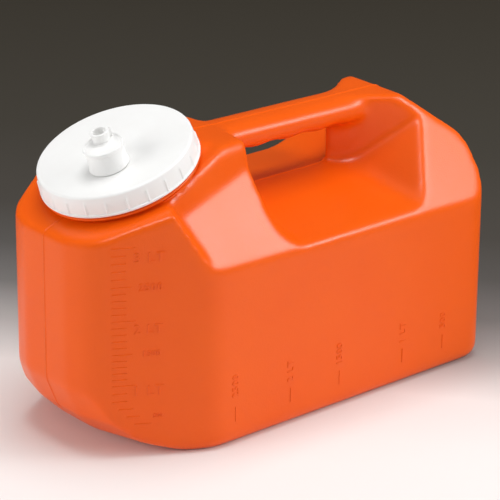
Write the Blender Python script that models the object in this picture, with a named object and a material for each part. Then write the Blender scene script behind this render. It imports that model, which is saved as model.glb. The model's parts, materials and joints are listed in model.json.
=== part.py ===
"""Three litre urine collection bottle: a blow-moulded jug with a through-handle, its screw cap and pour spout.

The cap end is at -X and the width runs along Y. The base stands on Z = 0, centred on the origin.
"""

import math

import bmesh
import bpy
from mathutils import Matrix, Vector

MM = 0.001

# Body
LENGTH = 250.0 * MM
WIDTH = 125.0 * MM
DECK_HEIGHT = 147.0 * MM
WALL = 1.6 * MM
NOSE_HALF_WIDTH = 33.3 * MM
NOSE_BULGE = 5.0 * MM
TAPER_ANGLE = math.radians(28.5)
NOSE_CORNER_RADIUS = 22.0 * MM
TAPER_CORNER_RADIUS = 26.0 * MM
REAR_CORNER_RADIUS = 15.0 * MM
FRONT_FOOT_RADIUS = 45.0 * MM
FOOT_RADIUS = 7.0 * MM

# Top of the body
WALL_HEIGHT = 95.0 * MM
DECK_HALF_WIDTH = 20.0 * MM
DECK_END_X = 96.0 * MM
DECK_FALL = math.radians(1.2)
REAR_SLOPE = math.radians(40.0)
REAR_EDGE_RADIUS = 12.0 * MM
FRONT_LAP_X = -77.0 * MM
CHEEK_TOP = Vector((-72.2 * MM, 43.1 * MM, 118.0 * MM))
CHEEK_TOP_TURN = math.radians(24.4)
CHEEK_TOP_LEAN = math.radians(32.1)
HUMP_SIDE = Vector((-24.0 * MM, 33.5 * MM, 128.4 * MM))
HUMP_SIDE_TURN = math.radians(81.4)
HUMP_SIDE_LEAN = math.radians(12.3)
HUMP_EDGE_RADIUS = 6.0 * MM

# Grip pockets and handle
RIDGE_HEIGHT = 109.0 * MM
POCKET_FLOOR_FALL = math.radians(11.5)
POCKET_FRONT_X = -17.0 * MM
POCKET_FRONT_TURN = math.radians(3.0)
POCKET_REAR_X = 68.0 * MM
POCKET_REAR_LEAN = math.radians(42.0)
POCKET_REAR_TURN = math.radians(19.0)
POCKET_FLARE_HALF_WIDTH = 6.0 * MM
POCKET_FLARE_TURN = math.radians(55.0)
POCKET_EDGE_RADIUS = 16.0 * MM
HANDLE_WIDTH = 27.0 * MM
HANDLE_DEPTH = 14.5 * MM
HANDLE_OVERLAP = 16.0 * MM
HANDLE_POWER = 3.2
FINGER_COUNT = 4
FINGER_DEPTH = 1.6 * MM

# Neck, on an axis that leans towards the front
NECK_TILT = math.radians(20.0)
NECK_FOOT_X = -75.5 * MM
NECK_FOOT_Z = 132.4 * MM
NECK_RADIUS = 37.6 * MM
NECK_WALL = 2.4 * MM
NECK_HEIGHT = 11.9 * MM
BEAD_OUT = 3.6 * MM
BEAD_LOW = 1.6 * MM
BEAD_HIGH = 3.7 * MM
NECK_SINK = 9.0 * MM

# Thread, one start and right-handed
THREAD_PITCH = 3.6 * MM
THREAD_DEPTH = 1.2 * MM
THREAD_THICKNESS = 1.4 * MM
THREAD_TURNS = 1.0
THREAD_START = 7.0 * MM
THREAD_CLEARANCE = 0.5 * MM

# Screw cap
FIT_GAP = 0.3 * MM
LINER_THICKNESS = 1.2 * MM
LINER_WIDTH = 4.8 * MM
LINER_EDGE_CLEARANCE = 1.0 * MM
CAP_TOP_THICKNESS = 1.9 * MM
CAP_SKIRT_WALL = 1.9 * MM
CAP_SKIRT_HEIGHT = 11.3 * MM
CAP_DRAFT = 0.8 * MM
CAP_EDGE_RADIUS = 1.6 * MM
CAP_RIM_HEIGHT = 1.2 * MM
CAP_RIM_OUT = 0.5 * MM
CAP_RIB_COUNT = 24
CAP_RIB_WIDTH = 1.5 * MM
CAP_RIB_OUT = 0.5 * MM
CAP_RIB_HEIGHT = 6.4 * MM
ROUND_SEGMENTS = 72

# Pour spout and its closure, off the cap's centre
SPOUT_OFFSET = Vector((-9.8 * MM, -8.5 * MM, 0.0))
SPOUT_TOP_RADIUS = 9.5 * MM
SPOUT_FLARE = 0.9 * MM
SPOUT_HEIGHT = 10.2 * MM
SPOUT_BORE_RADIUS = 5.0 * MM
SPOUT_SHANK_WALL = 2.6 * MM
SPOUT_SHANK_DEPTH = 1.4 * MM
SPOUT_SNAP_OUT = 0.7 * MM
LID_OVERHANG = 0.8 * MM
LID_THICKNESS = 2.0 * MM
LID_DISH = 0.6 * MM
LID_RIM_WIDTH = 1.2 * MM
LID_PLUG_DEPTH = 5.0 * MM
LID_PLUG_WALL = 1.2 * MM
KNOB_OFFSET = Vector((2.9 * MM, 4.3 * MM, 0.0))
KNOB_TOP_RADIUS = 5.0 * MM
KNOB_WALL = 1.6 * MM
KNOB_TAPER = 0.7 * MM
KNOB_HEIGHT = 5.2 * MM
KNOB_BORE_DEPTH = 4.4 * MM
KNOB_RIB_WIDTH = 1.3 * MM

# How finely the moulded form is meshed
BLOCK_OFFSET = 0.1 * MM
BASE_TRIM = 0.4 * MM
FORM_VOXEL = 3.0 * MM
FORM_SMOOTHING = 5
OUTER_KEEP = 0.09
INNER_KEEP = 0.045


def clear_scene():
    for thing in list(bpy.data.objects):
        bpy.data.objects.remove(thing, do_unlink=True)


def plastic(name, colour, roughness):
    material = bpy.data.materials.new(name)
    material.use_nodes = True
    shader = material.node_tree.nodes["Principled BSDF"]
    shader.inputs["Base Color"].default_value = (*colour, 1.0)
    shader.inputs["Roughness"].default_value = roughness
    shader.inputs["Metallic"].default_value = 0.0
    return material


def add_object(name, bm, material=None, parent=None, helper=False):
    """The bmesh as an object. A helper only cuts or joins, and isn't part of the model."""
    bmesh.ops.recalc_face_normals(bm, faces=bm.faces)
    mesh = bpy.data.meshes.new(name)
    bm.to_mesh(mesh)
    bm.free()
    thing = bpy.data.objects.new(name, mesh)
    bpy.context.scene.collection.objects.link(thing)
    if material:
        mesh.materials.append(material)
        mesh.shade_smooth()
        mesh.set_sharp_from_angle(angle=math.radians(35.0))
    if parent:
        thing.parent = parent
    if helper:
        thing.hide_render = True
        thing.display_type = "WIRE"
    return thing


def boolean(thing, other, operation):
    step = thing.modifiers.new(other.name, "BOOLEAN")
    step.operation = operation
    step.solver = "EXACT"
    step.object = other
    return step


# Blocks bounded by planes -------------------------------------------------------


def direction(turn, lean=0.0):
    """Unit normal at an angle from +X in plan, raised by lean."""
    return Vector(
        (math.cos(turn) * math.cos(lean), math.sin(turn) * math.cos(lean), math.sin(lean))
    )


def block(planes):
    """The space behind every (point, outward normal)."""
    bm = bmesh.new()
    bmesh.ops.create_cube(bm, size=2.0 * (LENGTH + WIDTH))
    for point, normal in planes:
        found = bmesh.ops.bisect_plane(
            bm,
            geom=bm.verts[:] + bm.edges[:] + bm.faces[:],
            dist=1e-7,
            plane_co=point,
            plane_no=normal,
            clear_outer=True,
        )
        rim = [edge for edge in found["geom_cut"] if isinstance(edge, bmesh.types.BMEdge)]
        if rim:
            bmesh.ops.edgeloop_fill(bm, edges=rim)
    return bm


def meeting(first, second, axis):
    """A point on both planes, with no offset along axis."""
    rows = Matrix((first[1], second[1], axis))
    return rows.inverted() @ Vector(
        (first[0].dot(first[1]), second[0].dot(second[1]), 0.0)
    )


def rounding(first, second, radius, steps=3):
    """Planes that round the edge where two planes meet."""
    one, two = first[1], second[1]
    edge = meeting(first, second, one.cross(two).normalized())
    centre = edge - radius * (one + two) / (1.0 + one.dot(two))
    planes = []
    for step in range(1, steps + 1):
        share = step / (steps + 1)
        normal = one.slerp(two, share)
        planes.append((centre + radius * normal, normal))
    return planes


def both_sides(planes):
    mirrored = [
        (Vector((p.x, -p.y, p.z)), Vector((n.x, -n.y, n.z))) for p, n in planes
    ]
    return planes + mirrored


def set_in(planes, inset):
    """The same planes moved inwards."""
    return [(point - inset * normal, normal) for point, normal in planes]


def plan_planes():
    """Walls and foot roundings that the whole body shares."""
    base = (Vector((0, 0, -BASE_TRIM)), Vector((0, 0, -1)))
    nose = (Vector((-LENGTH / 2, 0, 0)), Vector((-1, 0, 0)))
    cheek_turn = math.atan2(2.0 * NOSE_BULGE, NOSE_HALF_WIDTH)
    cheek_point = Vector((-LENGTH / 2 + NOSE_BULGE, NOSE_HALF_WIDTH, 0))
    cheek = (cheek_point, direction(math.pi - cheek_turn))
    taper = (cheek_point, direction(math.pi / 2 + TAPER_ANGLE))
    side = (Vector((0, WIDTH / 2, 0)), Vector((0, 1, 0)))
    rear = (Vector((LENGTH / 2, 0, 0)), Vector((1, 0, 0)))
    round_walls = (
        rounding(cheek, taper, NOSE_CORNER_RADIUS)
        + rounding(taper, side, TAPER_CORNER_RADIUS)
        + rounding(side, rear, REAR_CORNER_RADIUS)
    )
    walls = [cheek, taper, side] + round_walls
    feet = []
    for wall in walls:
        front = wall[1].x < -0.9
        feet += rounding(wall, base, FRONT_FOOT_RADIUS if front else FOOT_RADIUS)
    return (
        [base, nose, rear]
        + rounding(nose, base, FRONT_FOOT_RADIUS)
        + rounding(rear, base, FOOT_RADIUS)
        + both_sides(walls + feet)
    )


def neck_matrix():
    """From the neck's own axes, with Z along its axis, to the body's."""
    foot = Matrix.Translation((NECK_FOOT_X, 0, NECK_FOOT_Z))
    return foot @ Matrix.Rotation(-NECK_TILT, 4, "Y")


def deck_plane():
    point = Vector((NECK_FOOT_X / 2, 0, DECK_HEIGHT))
    return (point, Vector((math.sin(DECK_FALL), 0, math.cos(DECK_FALL))))


def shoulder_plane():
    foot = neck_matrix()
    return (foot.translation, foot.to_3x3() @ Vector((0, 0, 1)))


def front_block():
    """The full-height front end under the neck, cut back by a sloping face on each side.

    It lies a hair inside the main block's faces, so that no two faces lie in one plane.
    """
    cheek_top = (CHEEK_TOP, direction(CHEEK_TOP_TURN, CHEEK_TOP_LEAN))
    shared = set_in(plan_planes() + [deck_plane()], BLOCK_OFFSET)
    return block(shared + [shoulder_plane()] + both_sides([cheek_top]))


def hump_block():
    """The narrower hump that runs from the shoulder back to the handle."""
    side = (HUMP_SIDE, direction(HUMP_SIDE_TURN, HUMP_SIDE_LEAN))
    back = (Vector((POCKET_FRONT_X, 0, 0)), direction(POCKET_FRONT_TURN))
    shared = set_in(plan_planes() + [deck_plane(), shoulder_plane()], 2.0 * BLOCK_OFFSET)
    edge = rounding(side, deck_plane(), HUMP_EDGE_RADIUS)
    return block(shared + both_sides([side, back] + edge))


def main_block():
    """The long body behind the neck, its top chamfered to the narrow deck."""
    rise = DECK_HEIGHT - WALL_HEIGHT
    run = WIDTH / 2 - DECK_HALF_WIDTH
    slant = Vector((run * math.tan(DECK_FALL), rise, run)).normalized()
    chamfer = (Vector((0, WIDTH / 2, WALL_HEIGHT)), slant)
    deck_point, deck_normal = deck_plane()
    fall = (DECK_END_X - deck_point.x) * deck_normal.x / deck_normal.z
    slope = (
        Vector((DECK_END_X, 0, DECK_HEIGHT - fall)),
        Vector((math.sin(REAR_SLOPE), 0, math.cos(REAR_SLOPE))),
    )
    rear = (Vector((LENGTH / 2, 0, 0)), Vector((1, 0, 0)))
    front = (Vector((FRONT_LAP_X, 0, 0)), Vector((-1, 0, 0)))
    return block(
        plan_planes()
        + [deck_plane(), slope, front]
        + rounding(slope, rear, REAR_EDGE_RADIUS)
        + both_sides([chamfer])
    )


def pocket_block(side):
    """The grip pocket on one side, which also opens half of the gap under the handle."""
    middle = (Vector((0, -0.5 * MM * side, 0)), Vector((0, -side, 0)))
    floor = (
        Vector((0, 0, RIDGE_HEIGHT)),
        Vector((0, -side * math.sin(POCKET_FLOOR_FALL), -math.cos(POCKET_FLOOR_FALL))),
    )
    front_turn = math.pi - side * POCKET_FRONT_TURN
    front = (Vector((POCKET_FRONT_X, 0, 0)), direction(-front_turn))
    rear = (
        Vector((POCKET_REAR_X, 0, RIDGE_HEIGHT)),
        direction(-side * POCKET_REAR_TURN, -POCKET_REAR_LEAN),
    )
    flare = (
        Vector((POCKET_REAR_X, side * POCKET_FLARE_HALF_WIDTH, 0)),
        direction(-side * POCKET_FLARE_TURN),
    )
    rounded = rounding(front, floor, POCKET_EDGE_RADIUS) + rounding(floor, rear, POCKET_EDGE_RADIUS)
    return block([middle, floor, front, rear, flare] + rounded)


def handle_squareness(across, up):
    """How far a point on the handle's round section moves out to make it a rounded oblong."""
    return (abs(across) ** HANDLE_POWER + abs(up) ** HANDLE_POWER) ** (-1.0 / HANDLE_POWER)


def handle_bar():
    """A flattened tube from the hump to the rear, with finger waves along its underside."""
    low = POCKET_FRONT_X - HANDLE_OVERLAP
    high = POCKET_REAR_X + HANDLE_OVERLAP
    stations = 6 * FINGER_COUNT
    bm = bmesh.new()
    bmesh.ops.create_cone(bm, cap_ends=True, segments=24, radius1=0.5, radius2=0.5, depth=1.0)
    bmesh.ops.rotate(bm, verts=bm.verts, matrix=Matrix.Rotation(math.pi / 2, 3, "Y"))
    bmesh.ops.scale(bm, verts=bm.verts, vec=(high - low, HANDLE_WIDTH, HANDLE_DEPTH))
    bmesh.ops.translate(bm, verts=bm.verts, vec=((low + high) / 2, 0, 0))
    for station in range(1, stations):
        bmesh.ops.bisect_plane(
            bm,
            geom=bm.verts[:] + bm.edges[:] + bm.faces[:],
            dist=1e-7,
            plane_co=(low + (high - low) * station / stations, 0, 0),
            plane_no=(1, 0, 0),
        )
    top, lean = deck_plane()
    for vert in bm.verts:
        squarer = handle_squareness(
            2.0 * vert.co.y / HANDLE_WIDTH, 2.0 * vert.co.z / HANDLE_DEPTH
        )
        vert.co.y *= squarer
        vert.co.z *= squarer
        under = max(0.0, -vert.co.z / (HANDLE_DEPTH / 2))
        along = (vert.co.x - POCKET_FRONT_X) / (POCKET_REAR_X - POCKET_FRONT_X)
        wave = 0.5 + 0.5 * math.cos(2.0 * math.pi * FINGER_COUNT * along)
        if 0.0 <= along <= 1.0:
            vert.co.z -= under * FINGER_DEPTH * (wave - 0.5)
        deck = top.z - (vert.co.x - top.x) * lean.x / lean.z
        vert.co.z += deck - HANDLE_DEPTH / 2 - 0.2 * MM
    return bm


def moulded_form(name, keep, inset):
    """The body's soft outer form, or with an inset the form of the space inside it."""
    helpers = [
        (add_object(name + "_pocket_left", pocket_block(1), helper=True), "DIFFERENCE"),
        (add_object(name + "_pocket_right", pocket_block(-1), helper=True), "DIFFERENCE"),
        (add_object(name + "_front", front_block(), helper=True), "UNION"),
        (add_object(name + "_hump", hump_block(), helper=True), "UNION"),
        (add_object(name + "_handle", handle_bar(), helper=True), "UNION"),
    ]
    form = add_object(name, main_block(), helper=True)
    for other, operation in helpers:
        boolean(form, other, operation)
    remesh = form.modifiers.new("soften", "REMESH")
    remesh.mode = "VOXEL"
    remesh.voxel_size = FORM_VOXEL
    smooth = form.modifiers.new("smooth", "SMOOTH")
    smooth.factor = 0.5
    smooth.iterations = FORM_SMOOTHING
    decimate = form.modifiers.new("decimate", "DECIMATE")
    decimate.ratio = keep
    if inset:
        shrink = form.modifiers.new("inset", "DISPLACE")
        shrink.mid_level = 0.0
        shrink.strength = -inset
    return form


# Turned pieces -----------------------------------------------------------------


def even_angles(count):
    return [2.0 * math.pi * step / count for step in range(count)]


def turned(profile, angles, ribs=None):
    """A solid of revolution about Z from a closed (radius, height) outline.

    ribs takes an angle's number and an outline point, and gives what to add to the radius.
    """
    bm = bmesh.new()
    rings = []
    for number, angle in enumerate(angles):
        ring = []
        for radius, height in profile:
            reach = radius + (ribs(number, radius, height) if ribs else 0.0)
            ring.append(bm.verts.new((reach * math.cos(angle), reach * math.sin(angle), height)))
        rings.append(ring)
    for ring, following in zip(rings, rings[1:] + rings[:1]):
        for one in range(len(profile)):
            two = (one + 1) % len(profile)
            bm.faces.new((ring[one], following[one], following[two], ring[two]))
    bmesh.ops.remove_doubles(bm, verts=bm.verts, dist=1e-7)
    return bm


def arc(centre, radius, start, end, steps):
    """Points on a round corner of an outline, in degrees."""
    points = []
    for step in range(steps + 1):
        angle = math.radians(start + (end - start) * step / steps)
        points.append(
            (centre[0] + radius * math.cos(angle), centre[1] + radius * math.sin(angle))
        )
    return points


def thread(root, reach, low):
    """One helical ridge from the root radius to the reach radius, thinning out at both ends."""
    bm = bmesh.new()
    steps = int(THREAD_TURNS * 40)
    sections = []
    inward = 1.0 if reach > root else -1.0
    for step in range(steps + 1):
        share = step / steps
        fade = min(1.0, 8.0 * share, 8.0 * (1.0 - share))
        tip = root + (reach - root) * fade
        if fade == 0.0:
            tip = root - inward * 0.1 * MM
        angle = 2.0 * math.pi * THREAD_TURNS * share
        height = low + THREAD_PITCH * THREAD_TURNS * share
        half = THREAD_THICKNESS / 2
        outline = (
            (root - inward * 0.5 * MM, height - half),
            (tip, height - half * 0.4),
            (tip, height + half * 0.4),
            (root - inward * 0.5 * MM, height + half),
        )
        sections.append(
            [bm.verts.new((r * math.cos(angle), r * math.sin(angle), z)) for r, z in outline]
        )
    for section, following in zip(sections, sections[1:]):
        for one in range(4):
            two = (one + 1) % 4
            bm.faces.new((section[one], section[two], following[two], following[one]))
    bm.faces.new(sections[0])
    bm.faces.new(sections[-1])
    return bm


def neck_collar():
    """The neck's outside, from inside the shoulder up to its rim, with the bead under the cap."""
    bead = NECK_RADIUS + BEAD_OUT
    profile = [
        (0.0, -NECK_SINK),
        (NECK_RADIUS, -NECK_SINK),
        (NECK_RADIUS, BEAD_LOW),
        (bead - 0.4 * MM, BEAD_LOW + 0.3 * MM),
        (bead, (BEAD_LOW + BEAD_HIGH) / 2),
        (bead - 0.4 * MM, BEAD_HIGH - 0.3 * MM),
        (NECK_RADIUS, BEAD_HIGH),
        (NECK_RADIUS, NECK_HEIGHT - 0.5 * MM),
        (NECK_RADIUS - 0.5 * MM, NECK_HEIGHT),
        (0.0, NECK_HEIGHT),
    ]
    return turned(profile, even_angles(ROUND_SEGMENTS))


def neck_bore():
    bm = bmesh.new()
    bmesh.ops.create_cone(
        bm,
        cap_ends=True,
        segments=ROUND_SEGMENTS,
        radius1=NECK_RADIUS - NECK_WALL,
        radius2=NECK_RADIUS - NECK_WALL,
        depth=4.0 * NECK_SINK,
    )
    return bm


def make_body(neck_axis, material):
    outer = moulded_form("outer_form", OUTER_KEEP, 0.0)
    inner = moulded_form("inner_form", INNER_KEEP, WALL)
    collar = add_object("neck_collar", neck_collar(), helper=True)
    ridge = add_object(
        "neck_thread", thread(NECK_RADIUS, NECK_RADIUS + THREAD_DEPTH, THREAD_START), helper=True
    )
    bore = add_object("neck_bore", neck_bore(), helper=True)
    for piece in (collar, ridge, bore):
        piece.parent = neck_axis
    bm = block([(Vector((0, 0, 0)), Vector((0, 0, -1)))])
    body = add_object("bottle_body", bm, material)
    boolean(body, outer, "INTERSECT")
    boolean(body, collar, "UNION")
    boolean(body, ridge, "UNION")
    boolean(body, inner, "DIFFERENCE")
    boolean(body, bore, "DIFFERENCE")
    return body


def liner_low():
    return NECK_HEIGHT + FIT_GAP


def cap_ceiling():
    return liner_low() + LINER_THICKNESS + FIT_GAP


def cap_top():
    return cap_ceiling() + CAP_TOP_THICKNESS


def thread_bore():
    """Inside radius of the cap's skirt."""
    return NECK_RADIUS + THREAD_DEPTH + THREAD_CLEARANCE


def shank_radius():
    return SPOUT_BORE_RADIUS + SPOUT_SHANK_WALL


def make_liner(neck_axis, material):
    outer = thread_bore() - LINER_EDGE_CLEARANCE
    inner = outer - LINER_WIDTH
    low = liner_low()
    high = low + LINER_THICKNESS
    profile = [(inner, low), (outer, low), (outer, high), (inner, high)]
    bm = turned(profile, even_angles(ROUND_SEGMENTS))
    return add_object("cap_liner", bm, material, neck_axis)


def make_cap(neck_axis, material):
    inside = thread_bore()
    outside = inside + CAP_SKIRT_WALL
    top = cap_top()
    low = top - CAP_SKIRT_HEIGHT
    edge = outside - CAP_DRAFT
    corner = arc((edge - CAP_EDGE_RADIUS, top - CAP_EDGE_RADIUS), CAP_EDGE_RADIUS, 0, 90, 4)
    rib_top = low + CAP_RIM_HEIGHT + CAP_RIB_HEIGHT
    rib_foot = low + CAP_RIM_HEIGHT + 0.3 * MM
    profile = (
        [
            (0.0, cap_ceiling()),
            (inside - 0.6 * MM, cap_ceiling()),
            (inside, cap_ceiling() - 0.6 * MM),
            (inside, low),
            (outside + CAP_RIM_OUT, low),
            (outside + CAP_RIM_OUT, low + CAP_RIM_HEIGHT),
            (outside, rib_foot),
            (outside - 0.1 * MM, rib_top - 0.5 * MM),
            (outside - 0.15 * MM, rib_top),
        ]
        + corner
        + [(0.0, top)]
    )
    half_rib = CAP_RIB_WIDTH / 2 / outside
    angles = []
    for number in range(CAP_RIB_COUNT):
        middle = 2.0 * math.pi * number / CAP_RIB_COUNT
        between = middle + math.pi / CAP_RIB_COUNT
        angles += [middle - half_rib, middle, middle + half_rib, between]

    def ribs(number, radius, height):
        on_rib = number % 4 == 1 and rib_foot <= height <= rib_top - 0.4 * MM
        return CAP_RIB_OUT if on_rib and radius > inside + 0.5 * MM else 0.0

    cap = add_object("screw_cap", turned(profile, angles, ribs), material, neck_axis)
    thread_low = THREAD_START - THREAD_PITCH / 2
    ridge = add_object(
        "cap_thread", thread(inside, inside - THREAD_DEPTH, thread_low), helper=True
    )
    hole = bmesh.new()
    bmesh.ops.create_cone(
        hole,
        cap_ends=True,
        segments=32,
        radius1=shank_radius() + FIT_GAP,
        radius2=shank_radius() + FIT_GAP,
        depth=6.0 * CAP_TOP_THICKNESS,
    )
    spout_hole = add_object("spout_hole", hole, helper=True)
    spout_hole.location = SPOUT_OFFSET + Vector((0, 0, top))
    for piece in (ridge, spout_hole):
        piece.parent = neck_axis
    boolean(cap, ridge, "UNION")
    boolean(cap, spout_hole, "DIFFERENCE")
    return cap


def make_spout(neck_axis, material):
    """A short tube seated on the cap, with a shank that snaps through the cap's hole."""
    foot = FIT_GAP
    foot_radius = SPOUT_TOP_RADIUS + SPOUT_FLARE
    shank = shank_radius()
    shank_low = -CAP_TOP_THICKNESS - FIT_GAP - SPOUT_SHANK_DEPTH
    profile = [
        (SPOUT_BORE_RADIUS, shank_low),
        (shank, shank_low),
        (shank + SPOUT_SNAP_OUT, shank_low + SPOUT_SHANK_DEPTH / 2),
        (shank + SPOUT_SNAP_OUT, -CAP_TOP_THICKNESS - FIT_GAP),
        (shank, -CAP_TOP_THICKNESS - FIT_GAP),
        (shank, foot),
        (foot_radius, foot),
        (foot_radius, foot + 1.0 * MM),
        (SPOUT_TOP_RADIUS, SPOUT_HEIGHT),
        (SPOUT_BORE_RADIUS, SPOUT_HEIGHT),
    ]
    spout = add_object("pour_spout", turned(profile, even_angles(40)), material, neck_axis)
    spout.location = SPOUT_OFFSET + Vector((0, 0, cap_top()))
    return spout


def make_closure(neck_axis, material):
    """The lid that plugs the spout: a dished disc, a hollow plug under it and the hollow knob."""
    low = SPOUT_HEIGHT + FIT_GAP
    high = low + LID_THICKNESS
    plug = SPOUT_BORE_RADIUS - FIT_GAP
    edge = SPOUT_TOP_RADIUS + LID_OVERHANG
    profile = [
        (0.0, low),
        (plug - LID_PLUG_WALL, low),
        (plug - LID_PLUG_WALL, low - LID_PLUG_DEPTH),
        (plug - 0.4 * MM, low - LID_PLUG_DEPTH),
        (plug, low - LID_PLUG_DEPTH + 0.8 * MM),
        (plug, low),
        (edge - 0.5 * MM, low),
        (edge, low + 0.5 * MM),
        (edge, high - 0.4 * MM),
        (edge - 0.4 * MM, high),
        (edge - LID_RIM_WIDTH, high),
        (edge - LID_RIM_WIDTH - 0.3 * MM, high - LID_DISH),
        (0.0, high - LID_DISH),
    ]
    lid = add_object("spout_closure", turned(profile, even_angles(40)), material, neck_axis)
    lid.location = SPOUT_OFFSET + Vector((0, 0, cap_top()))
    knob_low = high - LID_DISH - 0.4 * MM
    knob_high = high - LID_DISH + KNOB_HEIGHT
    knob_bore = KNOB_TOP_RADIUS - KNOB_WALL
    outline = [
        (0.0, knob_low),
        (KNOB_TOP_RADIUS - KNOB_TAPER, knob_low),
        (KNOB_TOP_RADIUS, knob_high - 0.4 * MM),
        (KNOB_TOP_RADIUS - 0.3 * MM, knob_high),
        (knob_bore + 0.3 * MM, knob_high),
        (knob_bore, knob_high - 0.3 * MM),
        (knob_bore, knob_high - KNOB_BORE_DEPTH),
        (0.0, knob_high - KNOB_BORE_DEPTH),
    ]
    knob = add_object("closure_knob", turned(outline, even_angles(24)), helper=True)
    rib_bm = bmesh.new()
    bmesh.ops.create_cube(rib_bm, size=1.0)
    reach = KNOB_TOP_RADIUS + 0.8 * MM - knob_bore - 0.4 * MM
    bmesh.ops.scale(rib_bm, verts=rib_bm.verts, vec=(reach, KNOB_RIB_WIDTH, knob_high - knob_low))
    middle = knob_bore + 0.4 * MM + reach / 2
    bmesh.ops.translate(
        rib_bm, verts=rib_bm.verts, vec=(middle, 0, (knob_low + knob_high) / 2 - 0.1 * MM)
    )
    bmesh.ops.rotate(rib_bm, verts=rib_bm.verts, matrix=Matrix.Rotation(math.radians(-20.0), 3, "Z"))
    rib = add_object("closure_knob_rib", rib_bm, helper=True)
    for piece in (knob, rib):
        piece.parent = lid
        piece.location = KNOB_OFFSET
        boolean(lid, piece, "UNION")
    return lid


def main():
    clear_scene()
    orange = plastic("orange_hdpe", (0.80, 0.12, 0.02), 0.35)
    white = plastic("white_polypropylene", (0.85, 0.85, 0.84), 0.35)
    foam = plastic("liner_foam", (0.80, 0.80, 0.76), 0.8)
    neck_axis = bpy.data.objects.new("neck_axis", None)
    bpy.context.scene.collection.objects.link(neck_axis)
    neck_axis.matrix_world = neck_matrix()
    make_body(neck_axis, orange)
    make_liner(neck_axis, foam)
    make_cap(neck_axis, white)
    make_spout(neck_axis, white)
    make_closure(neck_axis, white)


main()
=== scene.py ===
"""Looks of a three litre urine collection bottle.

A blow-moulded jug with a screw cap, and a pour spout with its closure.
"""

import json
import math

import bmesh
import bpy
from mathutils import Matrix, Vector
from mathutils.bvhtree import BVHTree


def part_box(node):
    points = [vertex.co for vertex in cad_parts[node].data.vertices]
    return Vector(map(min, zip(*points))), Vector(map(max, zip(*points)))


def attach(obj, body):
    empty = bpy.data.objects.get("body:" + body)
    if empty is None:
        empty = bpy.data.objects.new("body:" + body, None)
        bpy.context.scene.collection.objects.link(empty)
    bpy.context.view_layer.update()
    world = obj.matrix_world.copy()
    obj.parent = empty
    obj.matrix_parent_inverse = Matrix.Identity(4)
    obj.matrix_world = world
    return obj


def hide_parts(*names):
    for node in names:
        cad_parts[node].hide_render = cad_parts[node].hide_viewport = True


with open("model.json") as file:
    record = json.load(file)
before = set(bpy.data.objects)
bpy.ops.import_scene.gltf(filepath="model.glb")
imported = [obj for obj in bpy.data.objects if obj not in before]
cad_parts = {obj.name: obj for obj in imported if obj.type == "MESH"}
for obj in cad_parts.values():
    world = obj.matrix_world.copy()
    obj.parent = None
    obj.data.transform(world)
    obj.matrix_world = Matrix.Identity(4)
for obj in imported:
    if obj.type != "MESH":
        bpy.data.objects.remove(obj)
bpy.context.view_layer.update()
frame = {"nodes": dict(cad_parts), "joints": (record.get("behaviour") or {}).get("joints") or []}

MM = 0.001

# The body's plan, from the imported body's own box
BODY_LOW, BODY_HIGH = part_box("bottle_body")
LENGTH = BODY_HIGH.x - BODY_LOW.x
WIDTH = BODY_HIGH.y - BODY_LOW.y
DECK_HEIGHT = 147.0 * MM
WALL = 1.6 * MM
NOSE_HALF_WIDTH = 33.3 * MM
NOSE_BULGE = 5.0 * MM
TAPER_ANGLE = math.radians(28.5)
NOSE_CORNER_RADIUS = 22.0 * MM
TAPER_CORNER_RADIUS = 26.0 * MM
REAR_CORNER_RADIUS = 15.0 * MM
FRONT_FOOT_RADIUS = 45.0 * MM
FOOT_RADIUS = 7.0 * MM

# Its top
WALL_HEIGHT = 95.0 * MM
DECK_HALF_WIDTH = 20.0 * MM
DECK_END_X = 96.0 * MM
DECK_FALL = math.radians(1.2)
REAR_SLOPE = math.radians(40.0)
REAR_EDGE_RADIUS = 12.0 * MM
FRONT_LAP_X = -77.0 * MM
CHEEK_TOP = Vector((-72.2 * MM, 43.1 * MM, 118.0 * MM))
CHEEK_TOP_TURN = math.radians(24.4)
CHEEK_TOP_LEAN = math.radians(32.1)
HUMP_SIDE = Vector((-24.0 * MM, 33.5 * MM, 128.4 * MM))
HUMP_SIDE_TURN = math.radians(81.4)
HUMP_SIDE_LEAN = math.radians(12.3)
HUMP_EDGE_RADIUS = 6.0 * MM

# Grip pockets and handle
RIDGE_HEIGHT = 109.0 * MM
POCKET_FLOOR_FALL = math.radians(11.5)
POCKET_FRONT_X = -17.0 * MM
POCKET_FRONT_TURN = math.radians(3.0)
POCKET_REAR_X = 68.0 * MM
POCKET_REAR_LEAN = math.radians(42.0)
POCKET_REAR_TURN = math.radians(19.0)
POCKET_FLARE_HALF_WIDTH = 6.0 * MM
POCKET_FLARE_TURN = math.radians(55.0)
POCKET_EDGE_RADIUS = 16.0 * MM
POCKET_OVERLAP = 0.5 * MM
HANDLE_WIDTH = 27.0 * MM
HANDLE_DEPTH = 14.5 * MM
HANDLE_OVERLAP = 16.0 * MM
HANDLE_DROP = 0.2 * MM
HANDLE_POWER = 2.6
FINGER_COUNT = 4
FINGER_DEPTH = 1.6 * MM

# Moulding: the form's fineness, and the ridge where the mould's halves met
BLOCK_OFFSET = 0.1 * MM
BASE_TRIM = 0.4 * MM
OUTER_VOXEL = 1.8 * MM
OUTER_PASSES = 12
INNER_VOXEL = 3.0 * MM
INNER_PASSES = 4
SEAM_HALF_WIDTH = 0.55 * MM
SEAM_HEIGHT = 0.35 * MM
SEAM_SNAP = 0.05 * MM
SEAM_REACH = 0.06 * MM
SEAM_LOWEST_NORMAL = -0.7

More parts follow.
